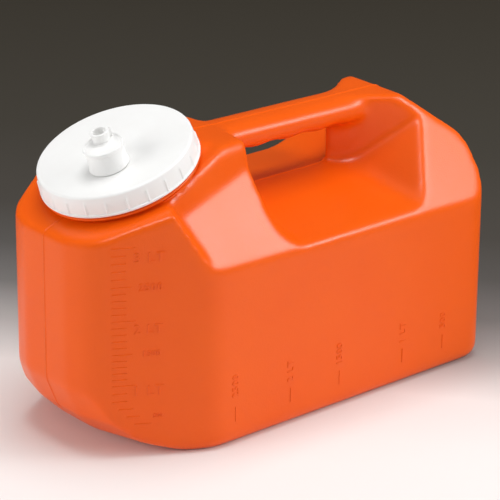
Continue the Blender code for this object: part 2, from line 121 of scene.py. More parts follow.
# Neck, on the cap's turning axis
TURN = next(joint for joint in frame["joints"] if joint["name"] == "cap_turn")
NECK_FOOT = Vector(TURN["pos_m"])
NECK_AXIS = Vector(TURN["axis"])
NECK_RADIUS = 37.6 * MM
NECK_WALL = 2.4 * MM
NECK_HEIGHT = 11.9 * MM
NECK_SINK = 9.0 * MM
NECK_FILLET = 1.4 * MM
BEAD_OUT = 3.6 * MM
BEAD_LOW = 1.6 * MM
BEAD_HIGH = 3.7 * MM
BEAD_ROUND = 0.9 * MM
NECK_LIP_RADIUS = 0.6 * MM

# Thread, one start and right-handed
THREAD_PITCH = 3.6 * MM
THREAD_DEPTH = 1.2 * MM
THREAD_THICKNESS = 1.4 * MM
THREAD_START = 7.0 * MM
THREAD_STEPS = 120
THREAD_SINK = 0.4 * MM
THREAD_CLEARANCE = 0.5 * MM

# Screw cap
FIT_GAP = 0.3 * MM
LINER_THICKNESS = 1.2 * MM
CAP_CEILING = NECK_HEIGHT + 2.0 * FIT_GAP + LINER_THICKNESS
CAP_TOP_THICKNESS = 1.9 * MM
CAP_TOP = CAP_CEILING + CAP_TOP_THICKNESS
CAP_SKIRT_WALL = 1.9 * MM
CAP_SKIRT_HEIGHT = 11.3 * MM
CAP_DRAFT = 0.8 * MM
CAP_EDGE_RADIUS = 1.5 * MM
CAP_RIM_HEIGHT = 1.2 * MM
CAP_RIM_OUT = 0.45 * MM
CAP_RIM_RADIUS = 0.3 * MM
CAP_INNER_RADIUS = 0.8 * MM
CAP_RIB_COUNT = 24
CAP_RIB_WIDTH = 1.3 * MM
CAP_RIB_OUT = 0.55 * MM
CAP_RIB_HEIGHT = 6.2 * MM
CAP_RIB_TURN = math.radians(12.6)
CAP_COLUMNS_PER_RIB = 15

# Pour spout and its closure, off the cap's centre
SPOUT_OFFSET = Vector((-9.8 * MM, -8.5 * MM, 0.0))
SPOUT_TOP_RADIUS = 9.5 * MM
SPOUT_FLARE = 0.9 * MM
SPOUT_HEIGHT = 10.2 * MM
SPOUT_BORE_RADIUS = 5.0 * MM
SPOUT_SHANK_WALL = 2.6 * MM
SPOUT_SHANK_DEPTH = 1.4 * MM
SPOUT_SNAP_OUT = 0.7 * MM
SPOUT_LIP_RADII = (0.4 * MM, 0.3 * MM)
LID_OVERHANG = 0.8 * MM
LID_THICKNESS = 2.0 * MM
LID_DISH = 0.6 * MM
LID_RIM_WIDTH = 1.2 * MM
LID_PLUG_DEPTH = 5.0 * MM
LID_PLUG_WALL = 1.2 * MM
LID_EDGE_RADII = (0.4 * MM, 0.45 * MM, 0.25 * MM)
KNOB_OFFSET = Vector((2.9 * MM, 4.3 * MM, 0.0))
KNOB_TOP_RADIUS = 5.0 * MM
KNOB_WALL = 1.6 * MM
KNOB_TAPER = 0.7 * MM
KNOB_HEIGHT = 5.2 * MM
KNOB_BORE_DEPTH = 4.4 * MM
KNOB_SINK = 0.4 * MM
KNOB_EDGE_RADII = (0.5 * MM, 0.35 * MM, 0.3 * MM)
KNOB_FIN_WIDTH = 1.3 * MM
KNOB_FIN_OUT = 0.8 * MM
KNOB_FIN_EDGE_RADIUS = 0.25 * MM
KNOB_FIN_TURN = math.radians(-20.0)

# Raised scale
MARK_HEIGHT = 0.35 * MM
MARK_SINK = 0.3 * MM
MARK_WIDTH = 0.75 * MM
MARK_EDGE_RADIUS = 0.22 * MM
FIGURE_EDGE_RADIUS = 0.1 * MM
LINE_START = 9.0
SHORT_LINE_END = 16.4
MIDDLE_LINE_END = 19.1
LONG_LINE_END = 21.1
LINE_COUNT = 26
# Below this height in millimetres the lines step back from the rounded foot of the nose
STEP_BACK_HEIGHT = 30.5
STEP_BACK_SHARE = 0.93
# Heights in millimetres of the lines at each half litre
SCALE_HEIGHTS = (18.7, 40.0, 56.8, 74.6, 92.7, 113.3)
# Figures on the front scale: words, then millimetres across the wall, up it, and in size
FRONT_FIGURES = (
    ("500", 31.8, 22.8, 2.9),
    ("1 LT", 27.1, 36.6, 7.6),
    ("1500", 28.7, 56.8, 4.2),
    ("2 LT", 27.3, 69.8, 7.0),
    ("2500", 28.5, 92.0, 5.4),
    ("3 LT", 28.0, 107.6, 7.6),
)
# Figures on the side scale: words, then millimetres along the wall and up it
SIDE_FIGURES = (
    ("500", 90.8, 29.2),
    ("1 LT", 61.5, 29.7),
    ("1500", 16.9, 30.3),
    ("2 LT", -16.7, 30.3),
    ("2500", -53.2, 32.6),
)
SIDE_FIGURE_SIZE = 5.6 * MM
SIDE_LINE_LENGTH = 8.0 * MM
SIDE_LINE_HEIGHT = 17.0 * MM

# Edges sharper than these angles, in degrees, are shaded as edges
BODY_CREASE = 40.0
PIECE_CREASE = 35.0
MARK_CREASE = 30.0

# Camera
CAMERA_TURN = math.radians(40.404)
CAMERA_FALL = math.radians(21.954)
CAMERA_ROLL = math.radians(0.503)
CAMERA_AIM = Vector((21.3 * MM, 15.1 * MM, 62.8 * MM))
CAMERA_DISTANCE = 1451.1 * MM
CAMERA_LENS = 195.82

# Painted shade on the pale paper: its tones at distances in millimetres behind the object's middle,
# darker where the studio light falls off
PAINTED_SHADE_TURN = math.radians(38.8)
PAINTED_SHADE_STOPS = (
    (-60.0, "#EDEAE8"),
    (-3.0, "#E8E5E3"),
    (49.0, "#B3AEAC"),
    (104.0, "#767371"),
    (163.0, "#575451"),
    (229.0, "#48443F"),
    (374.0, "#423E37"),
    (800.0, "#3E3930"),
)

# Light from all round, and how bright the walls it comes from look
ROOM_LIGHT = 0.3
ROOM_WALLS = 0.04


# Meshes --------------------------------------------------------------------------


def add_object(name, bm):
    mesh = bpy.data.meshes.new(name)
    bm.to_mesh(mesh)
    bm.free()
    thing = bpy.data.objects.new(name, mesh)
    bpy.context.scene.collection.objects.link(thing)
    return thing


def settle(thing):
    """Turns the object's modifiers into its mesh."""
    graph = bpy.context.evaluated_depsgraph_get()
    thing.data = bpy.data.meshes.new_from_object(thing.evaluated_get(graph))
    thing.modifiers.clear()


def combine(thing, bm, operation):
    """Joins or cuts the object with a closed mesh, exactly."""
    bmesh.ops.recalc_face_normals(bm, faces=bm.faces)
    other = add_object("tool", bm)
    step = thing.modifiers.new("combine", "BOOLEAN")
    step.operation = operation
    step.solver = "EXACT"
    step.object = other
    settle(thing)
    bpy.data.objects.remove(other, do_unlink=True)


def taken_mesh(thing):
    """The object's mesh for further editing. The object itself goes."""
    bm = bmesh.new()
    bm.from_mesh(thing.data)
    bpy.data.objects.remove(thing, do_unlink=True)
    return bm


def finish_piece(name, bm, body, material, nodes=(), place=Matrix(), crease=PIECE_CREASE):
    """A shown piece: its mesh set in place, shaded, given its material and tied to its body."""
    bm.transform(place)
    piece = add_object(name, bm)
    piece.data.materials.append(material)
    piece.data.shade_smooth()
    piece.data.set_sharp_from_angle(angle=math.radians(crease))
    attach(piece, body)
    if nodes:
        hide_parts(*nodes)
    return piece


def round_edges(bm, edges, radius):
    bmesh.ops.bevel(
        bm,
        geom=edges,
        offset=radius,
        offset_type="OFFSET",
        segments=2,
        profile=0.5,
        affect="EDGES",
        material=-1,
    )


# Blocks bounded by planes --------------------------------------------------------


def direction(turn, lean=0.0):
    """Unit normal at an angle from +X in plan, raised by lean."""
    return Vector(
        (math.cos(turn) * math.cos(lean), math.sin(turn) * math.cos(lean), math.sin(lean))
    )


def cut_away(bm, point, normal):
    """Cuts the closed mesh by a plane, drops what is outside it and closes the cut."""
    found = bmesh.ops.bisect_plane(
        bm,
        geom=bm.verts[:] + bm.edges[:] + bm.faces[:],
        dist=1e-7,
        plane_co=point,
        plane_no=normal,
        clear_outer=True,
    )
    rim = [edge for edge in found["geom_cut"] if isinstance(edge, bmesh.types.BMEdge)]
    if rim:
        bmesh.ops.edgeloop_fill(bm, edges=rim)


def block(planes):
    """The space behind every (point, outward normal)."""
    bm = bmesh.new()
    bmesh.ops.create_cube(bm, size=2.0 * (LENGTH + WIDTH))
    for point, normal in planes:
        cut_away(bm, point, normal)
    return bm


def meeting(first, second, axis):
    """A point on both planes, with no offset along axis."""
    rows = Matrix((first[1], second[1], axis))
    return rows.inverted() @ Vector(
        (first[0].dot(first[1]), second[0].dot(second[1]), 0.0)
    )


def rounding(first, second, radius, steps=3):
    """Planes that round the edge where two planes meet."""
    one, two = first[1], second[1]
    edge = meeting(first, second, one.cross(two).normalized())
    centre = edge - radius * (one + two) / (1.0 + one.dot(two))
    planes = []
    for step in range(1, steps + 1):
        normal = one.slerp(two, step / (steps + 1))
        planes.append((centre + radius * normal, normal))
    return planes


def both_sides(planes):
    mirrored = [
        (Vector((p.x, -p.y, p.z)), Vector((n.x, -n.y, n.z))) for p, n in planes
    ]
    return planes + mirrored


def set_in(planes, inset):
    return [(point - inset * normal, normal) for point, normal in planes]


# Body ----------------------------------------------------------------------------


def plan_planes():
    """Walls and foot roundings that the whole body shares."""
    base = (Vector((0, 0, -BASE_TRIM)), Vector((0, 0, -1)))
    nose = (Vector((-LENGTH / 2, 0, 0)), Vector((-1, 0, 0)))
    cheek_turn = math.atan2(2.0 * NOSE_BULGE, NOSE_HALF_WIDTH)
    cheek_point = Vector((-LENGTH / 2 + NOSE_BULGE, NOSE_HALF_WIDTH, 0))
    cheek = (cheek_point, direction(math.pi - cheek_turn))
    taper = (cheek_point, direction(math.pi / 2 + TAPER_ANGLE))
    side = (Vector((0, WIDTH / 2, 0)), Vector((0, 1, 0)))
    rear = (Vector((LENGTH / 2, 0, 0)), Vector((1, 0, 0)))
    round_walls = (
        rounding(cheek, taper, NOSE_CORNER_RADIUS)
        + rounding(taper, side, TAPER_CORNER_RADIUS)
        + rounding(side, rear, REAR_CORNER_RADIUS)
    )
    walls = [cheek, taper, side] + round_walls
    feet = []
    for wall in walls:
        front = wall[1].x < -0.9
        feet += rounding(wall, base, FRONT_FOOT_RADIUS if front else FOOT_RADIUS)
    return (
        [base, nose, rear]
        + rounding(nose, base, FRONT_FOOT_RADIUS)
        + rounding(rear, base, FOOT_RADIUS)
        + both_sides(walls + feet)
    )


def deck_plane():
    point = Vector((NECK_FOOT.x / 2, 0, DECK_HEIGHT))
    return (point, Vector((math.sin(DECK_FALL), 0, math.cos(DECK_FALL))))


def shoulder_plane():
    return (NECK_FOOT, NECK_AXIS)


def front_block():
    """The full-height front end under the neck, cut back by a sloping face on each side."""
    cheek_top = (CHEEK_TOP, direction(CHEEK_TOP_TURN, CHEEK_TOP_LEAN))
    shared = set_in(plan_planes() + [deck_plane()], BLOCK_OFFSET)
    return block(shared + [shoulder_plane()] + both_sides([cheek_top]))


def hump_block():
    """The narrower hump that runs from the shoulder back to the handle."""
    side = (HUMP_SIDE, direction(HUMP_SIDE_TURN, HUMP_SIDE_LEAN))
    back = (Vector((POCKET_FRONT_X, 0, 0)), direction(POCKET_FRONT_TURN))
    shared = set_in(plan_planes() + [deck_plane(), shoulder_plane()], 2.0 * BLOCK_OFFSET)
    edge = rounding(side, deck_plane(), HUMP_EDGE_RADIUS, steps=5)
    return block(shared + both_sides([side, back] + edge))


def main_block():
    """The long body behind the neck, its top chamfered to the narrow deck."""
    rise = DECK_HEIGHT - WALL_HEIGHT
    run = WIDTH / 2 - DECK_HALF_WIDTH
    slant = Vector((run * math.tan(DECK_FALL), rise, run)).normalized()
    chamfer = (Vector((0, WIDTH / 2, WALL_HEIGHT)), slant)
    deck_point, deck_normal = deck_plane()
    fall = (DECK_END_X - deck_point.x) * deck_normal.x / deck_normal.z
    slope = (
        Vector((DECK_END_X, 0, DECK_HEIGHT - fall)),
        Vector((math.sin(REAR_SLOPE), 0, math.cos(REAR_SLOPE))),
    )
    rear = (Vector((LENGTH / 2, 0, 0)), Vector((1, 0, 0)))
    front = (Vector((FRONT_LAP_X, 0, 0)), Vector((-1, 0, 0)))
    return block(
        plan_planes()
        + [deck_plane(), slope, front]
        + rounding(slope, rear, REAR_EDGE_RADIUS)
        + both_sides([chamfer])
    )


def pocket_block(side):
    """The grip pocket on one side, which also opens half of the gap under the handle."""
    middle = (Vector((0, -POCKET_OVERLAP * side, 0)), Vector((0, -side, 0)))
    floor = (
        Vector((0, 0, RIDGE_HEIGHT)),
        Vector((0, -side * math.sin(POCKET_FLOOR_FALL), -math.cos(POCKET_FLOOR_FALL))),
    )
    front_turn = math.pi - side * POCKET_FRONT_TURN
    front = (Vector((POCKET_FRONT_X, 0, 0)), direction(-front_turn))
    rear = (
        Vector((POCKET_REAR_X, 0, RIDGE_HEIGHT)),
        direction(-side * POCKET_REAR_TURN, -POCKET_REAR_LEAN),
    )
    flare = (
        Vector((POCKET_REAR_X, side * POCKET_FLARE_HALF_WIDTH, 0)),
        direction(-side * POCKET_FLARE_TURN),
    )
    rounded = rounding(front, floor, POCKET_EDGE_RADIUS) + rounding(floor, rear, POCKET_EDGE_RADIUS)
    return block([middle, floor, front, rear, flare] + rounded)


def handle_squareness(across, up):
    """How far a point on the handle's round section moves out to make it a rounded oblong."""
    return (abs(across) ** HANDLE_POWER + abs(up) ** HANDLE_POWER) ** (-1.0 / HANDLE_POWER)


def handle_bar():
    """A flattened tube from the hump to the rear, with finger waves along its underside."""
    low = POCKET_FRONT_X - HANDLE_OVERLAP
    high = POCKET_REAR_X + HANDLE_OVERLAP
    stations = 12 * FINGER_COUNT
    bm = bmesh.new()
    bmesh.ops.create_cone(bm, cap_ends=True, segments=48, radius1=0.5, radius2=0.5, depth=1.0)
    bmesh.ops.rotate(bm, verts=bm.verts, matrix=Matrix.Rotation(math.pi / 2, 3, "Y"))
    bmesh.ops.scale(bm, verts=bm.verts, vec=(high - low, HANDLE_WIDTH, HANDLE_DEPTH))
    bmesh.ops.translate(bm, verts=bm.verts, vec=((low + high) / 2, 0, 0))
    for station in range(1, stations):
        bmesh.ops.bisect_plane(
            bm,
            geom=bm.verts[:] + bm.edges[:] + bm.faces[:],
            dist=1e-7,
            plane_co=(low + (high - low) * station / stations, 0, 0),
            plane_no=(1, 0, 0),
        )
    top, lean = deck_plane()
    for vert in bm.verts:
        squarer = handle_squareness(vert.co.y / (HANDLE_WIDTH / 2), vert.co.z / (HANDLE_DEPTH / 2))
        vert.co.y *= squarer
        vert.co.z *= squarer
        under = max(0.0, -vert.co.z / (HANDLE_DEPTH / 2))
        along = (vert.co.x - POCKET_FRONT_X) / (POCKET_REAR_X - POCKET_FRONT_X)
        wave = 0.5 + 0.5 * math.cos(2.0 * math.pi * FINGER_COUNT * along)
        if 0.0 <= along <= 1.0:
            vert.co.z -= under * FINGER_DEPTH * (wave - 0.5)
        deck = top.z - (vert.co.x - top.x) * lean.x / lean.z
        vert.co.z += deck - HANDLE_DEPTH / 2 - HANDLE_DROP
    return bm


def moulded_form(voxel, passes, inset=0.0):
    """The body's soft outer form, or with an inset the form of the space inside it."""
    form = add_object("form", main_block())
    for side in (1, -1):
        combine(form, pocket_block(side), "DIFFERENCE")
    for bm in (front_block(), hump_block(), handle_bar()):
        combine(form, bm, "UNION")
    remesh = form.modifiers.new("soften", "REMESH")
    remesh.mode = "VOXEL"
    remesh.voxel_size = voxel
    smooth = form.modifiers.new("smooth", "SMOOTH")
    smooth.factor = 0.5
    smooth.iterations = passes
    if inset:
        shrink = form.modifiers.new("inset", "DISPLACE")
        shrink.mid_level = 0.0
        shrink.strength = -inset
    settle(form)
    return taken_mesh(form)


def raise_seam(bm):
    """The fine ridge all round the middle, where the two halves of the mould met."""
    for offset in (-SEAM_HALF_WIDTH, 0.0, SEAM_HALF_WIDTH):
        bmesh.ops.bisect_plane(
            bm,
            geom=bm.verts[:] + bm.edges[:] + bm.faces[:],
            dist=SEAM_SNAP,
            plane_co=(0, offset, 0),
            plane_no=(0, 1, 0),
        )
    bm.normal_update()
    for vert in bm.verts:
        if abs(vert.co.y) < SEAM_REACH and vert.normal.z > SEAM_LOWEST_NORMAL:
            vert.co += SEAM_HEIGHT * vert.normal


def spun(outline, steps=144, closed=True):
    """A solid of revolution about Z from its (radius, height) outline."""
    bm = bmesh.new()
    verts = [bm.verts.new((radius, 0, height)) for radius, height in outline]
    pairs = list(zip(verts, verts[1:] + verts[:1]))
    edges = [bm.edges.new(pair) for pair in (pairs if closed else pairs[:-1])]
    bmesh.ops.spin(
        bm,
        geom=verts + edges,
        axis=(0, 0, 1),
        cent=(0, 0, 0),
        angle=2.0 * math.pi,
        steps=steps,
        use_merge=True,
    )
    bmesh.ops.remove_doubles(bm, verts=bm.verts, dist=1e-7)
    bmesh.ops.recalc_face_normals(bm, faces=bm.faces)
    return bm


def arc(centre, radius, start, end, steps):
    """Points on a round corner of an outline, in degrees."""
    points = []
    for step in range(steps + 1):
        angle = math.radians(start + (end - start) * step / steps)
        points.append(
            (centre[0] + radius * math.cos(angle), centre[1] + radius * math.sin(angle))
        )
    return points


def thread(root, reach, low):
    """One helical turn of thread from the root radius to the reach radius, its ends run out."""
    outward = 1.0 if reach > root else -1.0
    buried = root - outward * THREAD_SINK
    shoulder = reach - outward * 0.15 * MM
    half = THREAD_THICKNESS / 2
    outline = (
        (buried, low - half),
        (shoulder, low - half * 0.45),
        (reach, low),
        (shoulder, low + half * 0.45),
        (buried, low + half),
    )
    bm = bmesh.new()
    section = bm.faces.new([bm.verts.new((radius, 0, height)) for radius, height in outline])
    bmesh.ops.spin(
        bm,
        geom=[section] + section.edges[:] + section.verts[:],
        axis=(0, 0, 1),
        cent=(0, 0, 0),
        dvec=(0, 0, THREAD_PITCH / THREAD_STEPS),
        angle=2.0 * math.pi,
        steps=THREAD_STEPS,
    )
    for vert in bm.verts:
        turned = math.atan2(vert.co.y, vert.co.x) % (2.0 * math.pi)
        rise = (vert.co.z - low) / THREAD_PITCH
        share = min(max(turned / (2.0 * math.pi), 0.0), 1.0)
        if rise > 0.8 and share < 0.2:
            share = 1.0
        if rise < 0.2 and share > 0.8:
            share = 0.0
        fade = min(1.0, 8.0 * share, 8.0 * (1.0 - share))
        radius = math.hypot(vert.co.x, vert.co.y)
        reached = buried + (radius - buried) * fade
        vert.co.x *= reached / radius
        vert.co.y *= reached / radius
    bmesh.ops.recalc_face_normals(bm, faces=bm.faces)
    return bm


def neck_place():
    """From the neck's own axes, with Z along its axis, to the body's."""
    turn = Vector((0, 0, 1)).rotation_difference(NECK_AXIS).to_matrix().to_4x4()
    return Matrix.Translation(NECK_FOOT) @ turn


def neck_collar():
    """The neck's outside from inside the shoulder up to its rim, with the bead under the cap."""
    bead = NECK_RADIUS + BEAD_OUT
    middle = (BEAD_LOW + BEAD_HIGH) / 2
    lip = NECK_LIP_RADIUS
    outline = (
        [(0.0, -NECK_SINK), (NECK_RADIUS + NECK_FILLET, -NECK_SINK)]
        + arc((NECK_RADIUS + NECK_FILLET, NECK_FILLET), NECK_FILLET, 270, 180, 5)
        + [(NECK_RADIUS, BEAD_LOW)]
        + arc((bead - BEAD_ROUND, middle), BEAD_ROUND, -80, 80, 8)
        + [(NECK_RADIUS, BEAD_HIGH)]
        + arc((NECK_RADIUS - lip, NECK_HEIGHT - lip), lip, 0, 90, 4)
        + [(0.0, NECK_HEIGHT)]
    )
    return spun(outline, closed=False)


def neck_bore():
    bm = bmesh.new()
    radius = NECK_RADIUS - NECK_WALL
    bmesh.ops.create_cone(
        bm, cap_ends=True, segments=144, radius1=radius, radius2=radius, depth=4.0 * NECK_SINK
    )
    return bm


def make_body(hdpe):
    outer = moulded_form(OUTER_VOXEL, OUTER_PASSES)
    cut_away(outer, Vector((0, 0, 0)), Vector((0, 0, -1)))
    raise_seam(outer)
    place = neck_place()
    body = add_object("moulded_body", outer)
    for bm, operation in (
        (neck_collar(), "UNION"),
        (thread(NECK_RADIUS, NECK_RADIUS + THREAD_DEPTH, THREAD_START), "UNION"),
    ):
        bm.transform(place)
        combine(body, bm, operation)
    combine(body, moulded_form(INNER_VOXEL, INNER_PASSES, WALL), "DIFFERENCE")
    bore = neck_bore()
    bore.transform(place)
    combine(body, bore, "DIFFERENCE")
    return finish_piece(
        "moulded_bottle",
        taken_mesh(body),
        "bottle",
        hdpe,
        ("bottle_body",),
        crease=BODY_CREASE,
    )


# Raised scale --------------------------------------------------------------------


class Face:
    """A flat wall of the body, on which a scale's marks are laid out."""

    def __init__(self, corner, along, up, normal):
        self.corner = corner
        self.along = along
        self.up = up
        self.normal = normal

    def place(self, across, height, turn=0.0):
        """From a mark's own axes, with Z outwards, to its place on the wall."""
        axes = Matrix((self.along, self.up, self.normal)).transposed().to_4x4()
        point = self.corner + across * self.along + height * self.up
        return Matrix.Translation(point) @ axes @ Matrix.Rotation(turn, 4, "Z")


def bar(length):
    """A raised line with rounded upper edges."""
    bm = bmesh.new()
    bmesh.ops.create_cube(bm, size=1.0)
    depth = MARK_HEIGHT + MARK_SINK
    bmesh.ops.scale(bm, verts=bm.verts, vec=(length, MARK_WIDTH, depth))
    bmesh.ops.translate(bm, verts=bm.verts, vec=(0, 0, depth / 2 - MARK_SINK))
    upper = [edge for edge in bm.edges if all(vert.co.z > 0.0 for vert in edge.verts)]
    round_edges(bm, upper, MARK_EDGE_RADIUS)
    return bm


def figure(words, size):
    """Raised figures, centred, with rounded upper edges."""
    curve = bpy.data.curves.new("figure", "FONT")
    curve.body = words
    curve.size = size
    curve.align_x = "CENTER"
    curve.align_y = "CENTER"
    curve.extrude = (MARK_HEIGHT + MARK_SINK) / 2 - FIGURE_EDGE_RADIUS
    curve.bevel_depth = FIGURE_EDGE_RADIUS
    curve.bevel_resolution = 1
    curve.resolution_u = 4
    curve.space_character = 1.15
    thing = bpy.data.objects.new("figure", curve)
    bpy.context.scene.collection.objects.link(thing)
    graph = bpy.context.evaluated_depsgraph_get()
    mesh = bpy.data.meshes.new_from_object(thing.evaluated_get(graph))
    bpy.data.objects.remove(thing, do_unlink=True)
    bm = bmesh.new()
    bm.from_mesh(mesh)
    bmesh.ops.remove_doubles(bm, verts=bm.verts, dist=1e-6)
    bmesh.ops.translate(bm, verts=bm.verts, vec=(0, 0, (MARK_HEIGHT - MARK_SINK) / 2))
    return bm


def add_mark(scale, mark, place):
    """Adds a mark's mesh to the scale's."""
    mark.transform(place)
    mesh = bpy.data.meshes.new("mark")
    mark.to_mesh(mesh)
    mark.free()
    scale.from_mesh(mesh)
    bpy.data.meshes.remove(mesh)


def lay_on(scale, face, surface):
    """Moves every point along the wall's normal, so that the marks follow the moulded surface."""
    reach = 15.0 * MM
    for vert in scale.verts:
        proud = (vert.co - face.corner).dot(face.normal)
        start = vert.co + (reach - proud) * face.normal
        hit = surface.ray_cast(start, -face.normal)[0]
        if hit:
            vert.co = hit + proud * face.normal


def front_scale(surface, hdpe):
    """Lines each 100 ml up the near tapering wall, longer at each half litre, with figures."""
    along = Vector((math.cos(TAPER_ANGLE), -math.sin(TAPER_ANGLE), 0))
    normal = Vector((-math.sin(TAPER_ANGLE), -math.cos(TAPER_ANGLE), 0))
    corner = Vector((-LENGTH / 2 + NOSE_BULGE, -NOSE_HALF_WIDTH, 0))
    face = Face(corner, along, Vector((0, 0, 1)), normal)
    scale = bmesh.new()
    for number in range(LINE_COUNT):
        half_litre, hundreds = divmod(number, 5)
        low = SCALE_HEIGHTS[half_litre]
        high = SCALE_HEIGHTS[min(half_litre + 1, len(SCALE_HEIGHTS) - 1)]
        height = low + (high - low) * hundreds / 5
        end = SHORT_LINE_END
        if hundreds == 0:
            end = LONG_LINE_END if half_litre % 2 else MIDDLE_LINE_END
        shift = max(0.0, STEP_BACK_HEIGHT - height) * STEP_BACK_SHARE
        start = LINE_START + shift
        end += min(shift, 0.75 * shift + 1.0)
        middle = (start + end) / 2 * MM
        add_mark(scale, bar((end - start) * MM), face.place(middle, height * MM))
    for words, across, height, size in FRONT_FIGURES:
        add_mark(scale, figure(words, size * MM), face.place(across * MM, height * MM))
    lay_on(scale, face, surface)
    finish_piece("front_scale", scale, "bottle", hdpe, crease=MARK_CREASE)


def side_scale(surface, hdpe):
    """Figures along the near side wall, upright when the bottle stands on its rear end."""
    face = Face(
        Vector((0, -WIDTH / 2, 0)), Vector((1, 0, 0)), Vector((0, 0, 1)), Vector((0, -1, 0))
    )
    scale = bmesh.new()
    for words, across, height in SIDE_FIGURES:
        place = face.place(across * MM, height * MM, math.pi / 2)
        add_mark(scale, figure(words, SIDE_FIGURE_SIZE), place)
        line = face.place(across * MM, SIDE_LINE_HEIGHT, math.pi / 2)
        add_mark(scale, bar(SIDE_LINE_LENGTH), line)
    lay_on(scale, face, surface)
    finish_piece("side_scale", scale, "bottle", hdpe, crease=MARK_CREASE)


# Cap, spout and closure ----------------------------------------------------------


def make_cap(polypropylene):
    inside = NECK_RADIUS + THREAD_DEPTH + THREAD_CLEARANCE
    outside = inside + CAP_SKIRT_WALL
    low = CAP_TOP - CAP_SKIRT_HEIGHT
    edge = outside - CAP_DRAFT
    rim = outside + CAP_RIM_OUT - CAP_RIM_RADIUS
    rib_foot = low + CAP_RIM_HEIGHT + 0.25 * MM
    rib_top = rib_foot + CAP_RIB_HEIGHT
    hole = SPOUT_BORE_RADIUS + SPOUT_SHANK_WALL + FIT_GAP

    def wall(height):
        """Outside radius of the drafted skirt at a height."""
        return outside - CAP_DRAFT * (height - low) / CAP_SKIRT_HEIGHT

    outline = (
        [(0.0, CAP_CEILING), (inside - CAP_INNER_RADIUS, CAP_CEILING)]
        + arc((inside - CAP_INNER_RADIUS, CAP_CEILING - CAP_INNER_RADIUS), CAP_INNER_RADIUS, 60, 0, 3)
        + [(inside, low + CAP_RIM_RADIUS), (inside + CAP_RIM_RADIUS, low)]
        + arc((rim, low + CAP_RIM_RADIUS), CAP_RIM_RADIUS, -90, 0, 3)
        + arc((rim, low + CAP_RIM_HEIGHT - CAP_RIM_RADIUS), CAP_RIM_RADIUS, 0, 60, 3)
        + [(wall(rib_foot), rib_foot)]
        + [(wall(rib_foot + 0.15 * MM), rib_foot + 0.15 * MM)]
        + [(wall(rib_top - 0.5 * MM), rib_top - 0.5 * MM), (wall(rib_top), rib_top)]
        + arc((edge - CAP_EDGE_RADIUS, CAP_TOP - CAP_EDGE_RADIUS), CAP_EDGE_RADIUS, 3, 90, 8)
        + [(0.0, CAP_TOP)]
    )
    bm = spun(outline, steps=CAP_RIB_COUNT * CAP_COLUMNS_PER_RIB, closed=False)
    pitch = 2.0 * math.pi / CAP_RIB_COUNT
    for vert in bm.verts:
        radius = math.hypot(vert.co.x, vert.co.y)
        if radius < inside + 0.8 * MM or not rib_foot - 1e-6 < vert.co.z < rib_top - 0.4 * MM:
            continue
        turned = (math.atan2(vert.co.y, vert.co.x) + pitch / 2) % pitch - pitch / 2
        if abs(turned) * radius < CAP_RIB_WIDTH / 2:
            vert.co.x *= 1.0 + CAP_RIB_OUT / radius
            vert.co.y *= 1.0 + CAP_RIB_OUT / radius
    bm.transform(Matrix.Rotation(CAP_RIB_TURN, 4, "Z"))
    cap = add_object("cap_blank", bm)
    combine(cap, thread(inside, inside - THREAD_DEPTH, THREAD_START - THREAD_PITCH / 2), "UNION")
    drill = bmesh.new()
    bmesh.ops.create_cone(
        drill, cap_ends=True, segments=72, radius1=hole, radius2=hole, depth=CAP_SKIRT_HEIGHT
    )
    bmesh.ops.translate(drill, verts=drill.verts, vec=SPOUT_OFFSET + Vector((0, 0, CAP_TOP)))
    combine(cap, drill, "DIFFERENCE")
    finish_piece(
        "ribbed_cap",
        taken_mesh(cap),
        "cap",
        polypropylene,
        ("screw_cap",),
        neck_place(),
    )


def spout_place():
    return neck_place() @ Matrix.Translation(SPOUT_OFFSET + Vector((0, 0, CAP_TOP)))


def make_spout(polypropylene):
    """A short tapered tube seated on the cap, with a shank that snaps through the cap's hole."""
    foot = FIT_GAP
    foot_radius = SPOUT_TOP_RADIUS + SPOUT_FLARE
    shank = SPOUT_BORE_RADIUS + SPOUT_SHANK_WALL
    catch = -CAP_TOP_THICKNESS - FIT_GAP
    shank_low = catch - SPOUT_SHANK_DEPTH
    outer, inner = SPOUT_LIP_RADII
    outline = (
        [(SPOUT_BORE_RADIUS, shank_low), (shank - 0.3 * MM, shank_low)]
        + [(shank + SPOUT_SNAP_OUT, catch - SPOUT_SHANK_DEPTH / 2), (shank + SPOUT_SNAP_OUT, catch)]
        + [(shank, catch), (shank, foot), (foot_radius - 0.2 * MM, foot)]
        + [(foot_radius, foot + 0.2 * MM), (foot_radius - 0.1 * MM, foot + 0.8 * MM)]
        + [(foot_radius - 0.45 * MM, foot + 1.3 * MM)]
        + arc((SPOUT_TOP_RADIUS - outer, SPOUT_HEIGHT - outer), outer, 5, 90, 4)
        + arc((SPOUT_BORE_RADIUS + inner, SPOUT_HEIGHT - inner), inner, 90, 180, 3)
    )
    finish_piece(
        "tapered_spout",
        spun(outline, steps=96),
        "cap",
        polypropylene,
        ("pour_spout",),
        spout_place(),
    )


